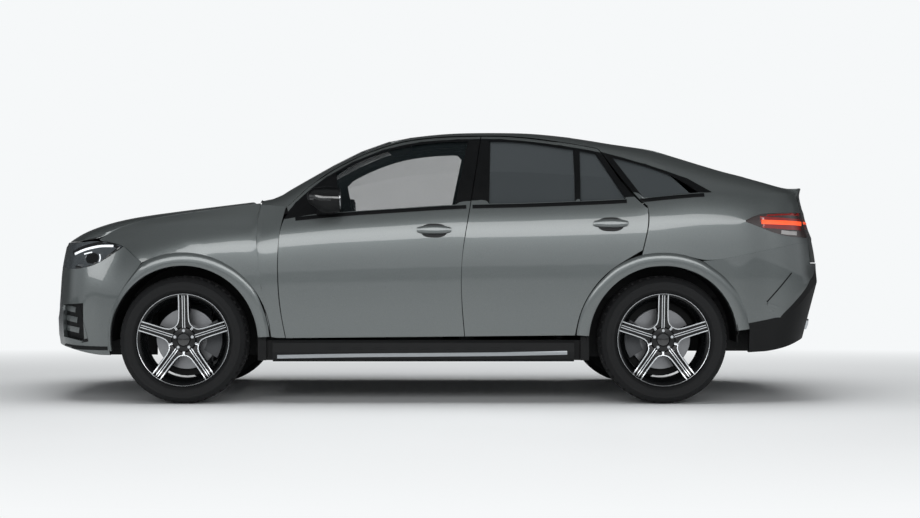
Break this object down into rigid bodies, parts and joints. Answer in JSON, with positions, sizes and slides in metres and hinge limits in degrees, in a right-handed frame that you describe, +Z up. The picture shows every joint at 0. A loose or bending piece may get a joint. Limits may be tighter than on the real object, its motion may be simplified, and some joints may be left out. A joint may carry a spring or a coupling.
{
  "type": "coupe sport utility vehicle",
  "caption": "coupe sport utility vehicle with a sloping roofline, hinged doors, bonnet and tailgate, steered front wheels and twin-spoke star wheels",
  "frame": {"origin": "on the ground, midway between the front and rear bumpers, on the centre plane", "axes": "+X to the rear, +Y to the vehicle's right, +Z up"},
  "size_m": [4.915, 2.158, 1.706],
  "materials": {
    "body_paint": "metallic grey clearcoat",
    "black_plastic": "grained",
    "gloss_black": "polished",
    "window_glass": "clear to tinted",
    "lamp_cover": "clear",
    "red_lens": "moulded",
    "cast_metal": "cast",
    "wheel_alloy": "black with machined edges",
    "tyre_rubber": "moulded",
    "seat_leather": "grained"
  },
  "bodies": {
    "body": {"floor_pan": "black_plastic", "body_side_left": "body_paint", "body_side_right": "body_paint", "roof": "body_paint", "fixed_windows": "window_glass", "front_fenders": "body_paint", "front_bumper": "body_paint", "grille": "black_plastic", "headlamps": "lamp_cover", "rear_bumper": "body_paint", "rear_valance": "black_plastic", "tail_lamps": "red_lens", "arch_trims": "body_paint", "running_boards": "black_plastic", "front_seats": "seat_leather", "rear_seat": "seat_leather", "dashboard": "black_plastic", "engine_block": "cast_metal", "subframes": "black_plastic", "rear_hub_carriers": "cast_metal", "exhaust_silencer": "cast_metal"},
    "front_door_left": {"door_front_left": "body_paint", "window_front_left": "window_glass", "mirror_left": "gloss_black"},
    "rear_door_left": {"door_rear_left": "body_paint", "window_rear_left": "window_glass"},
    "upright_left": {"knuckle_left": "cast_metal"},
    "wheel_front_left": {"rim_front_left": "wheel_alloy", "tyre_front_left": "tyre_rubber"},
    "wheel_rear_left": {"rim_rear_left": "wheel_alloy", "tyre_rear_left": "tyre_rubber"},
    "front_door_right": {"door_front_right": "body_paint", "window_front_right": "window_glass", "mirror_right": "gloss_black"},
    "rear_door_right": {"door_rear_right": "body_paint", "window_rear_right": "window_glass"},
    "upright_right": {"knuckle_right": "cast_metal"},
    "wheel_front_right": {"rim_front_right": "wheel_alloy", "tyre_front_right": "tyre_rubber"},
    "wheel_rear_right": {"rim_rear_right": "wheel_alloy", "tyre_rear_right": "tyre_rubber"},
    "bonnet_lid": {"bonnet": "body_paint"},
    "tailgate_lid": {"tailgate": "body_paint", "tailgate_window": "window_glass", "tailgate_lamps": "red_lens"},
    "steering_hand_wheel": {"steering_wheel": "black_plastic"}
  },
  "joints": [
    {"name": "front_door_left_hinge", "type": "hinge", "parent": "body", "child": "front_door_left", "pos_m": [-0.91129, -0.935, 0.75], "axis": [0, 0, -1], "range_deg": [0, 68]},
    {"name": "rear_door_left_hinge", "type": "hinge", "parent": "body", "child": "rear_door_left", "pos_m": [0.20703, -0.939, 0.75], "axis": [0, 0, -1], "range_deg": [0, 68]},
    {"name": "front_door_right_hinge", "type": "hinge", "parent": "body", "child": "front_door_right", "pos_m": [-0.91129, 0.935, 0.75], "axis": [0, 0, 1], "range_deg": [0, 68]},
    {"name": "rear_door_right_hinge", "type": "hinge", "parent": "body", "child": "rear_door_right", "pos_m": [0.20703, 0.939, 0.75], "axis": [0, 0, 1], "range_deg": [0, 68]},
    {"name": "bonnet_hinge", "type": "hinge", "parent": "body", "child": "bonnet_lid", "pos_m": [-1.14999, 0, 1.21191], "axis": [0, 1, 0], "range_deg": [0, 45]},
    {"name": "tailgate_hinge", "type": "hinge", "parent": "body", "child": "tailgate_lid", "pos_m": [1.04802, 0, 1.61053], "axis": [0, -1, 0], "range_deg": [0, 75]},
    {"name": "steer_left", "type": "hinge", "parent": "body", "child": "upright_left", "pos_m": [-1.5625, -0.742, 0.3905], "axis": [0, 0, 1], "range_deg": [-34, 34]},
    {"name": "front_wheel_left_spin", "type": "hinge", "parent": "upright_left", "child": "wheel_front_left", "pos_m": [-1.5625, -0.842, 0.3905], "axis": [0, -1, 0], "continuous": true},
    {"name": "rear_wheel_left_spin", "type": "hinge", "parent": "body", "child": "wheel_rear_left", "pos_m": [1.3725, -0.842, 0.3905], "axis": [0, -1, 0], "continuous": true},
    {"name": "steer_right", "type": "hinge", "parent": "body", "child": "upright_right", "pos_m": [-1.5625, 0.742, 0.3905], "axis": [0, 0, 1], "range_deg": [-34, 34]},
    {"name": "front_wheel_right_spin", "type": "hinge", "parent": "upright_right", "child": "wheel_front_right", "pos_m": [-1.5625, 0.842, 0.3905], "axis": [0, -1, 0], "continuous": true},
    {"name": "rear_wheel_right_spin", "type": "hinge", "parent": "body", "child": "wheel_rear_right", "pos_m": [1.3725, 0.842, 0.3905], "axis": [0, -1, 0], "continuous": true},
    {"name": "steering_wheel_turn", "type": "hinge", "parent": "body", "child": "steering_hand_wheel", "pos_m": [-0.55873, -0.38, 0.99], "axis": [0.9135, 0, 0.4067], "range_deg": [-510, 510]}
  ],
  "couplings": [
    {"joint": "steer_right", "follows": "steer_left", "ratio": 1},
    {"joint": "steering_wheel_turn", "follows": "steer_left", "ratio": 15}
  ]
}
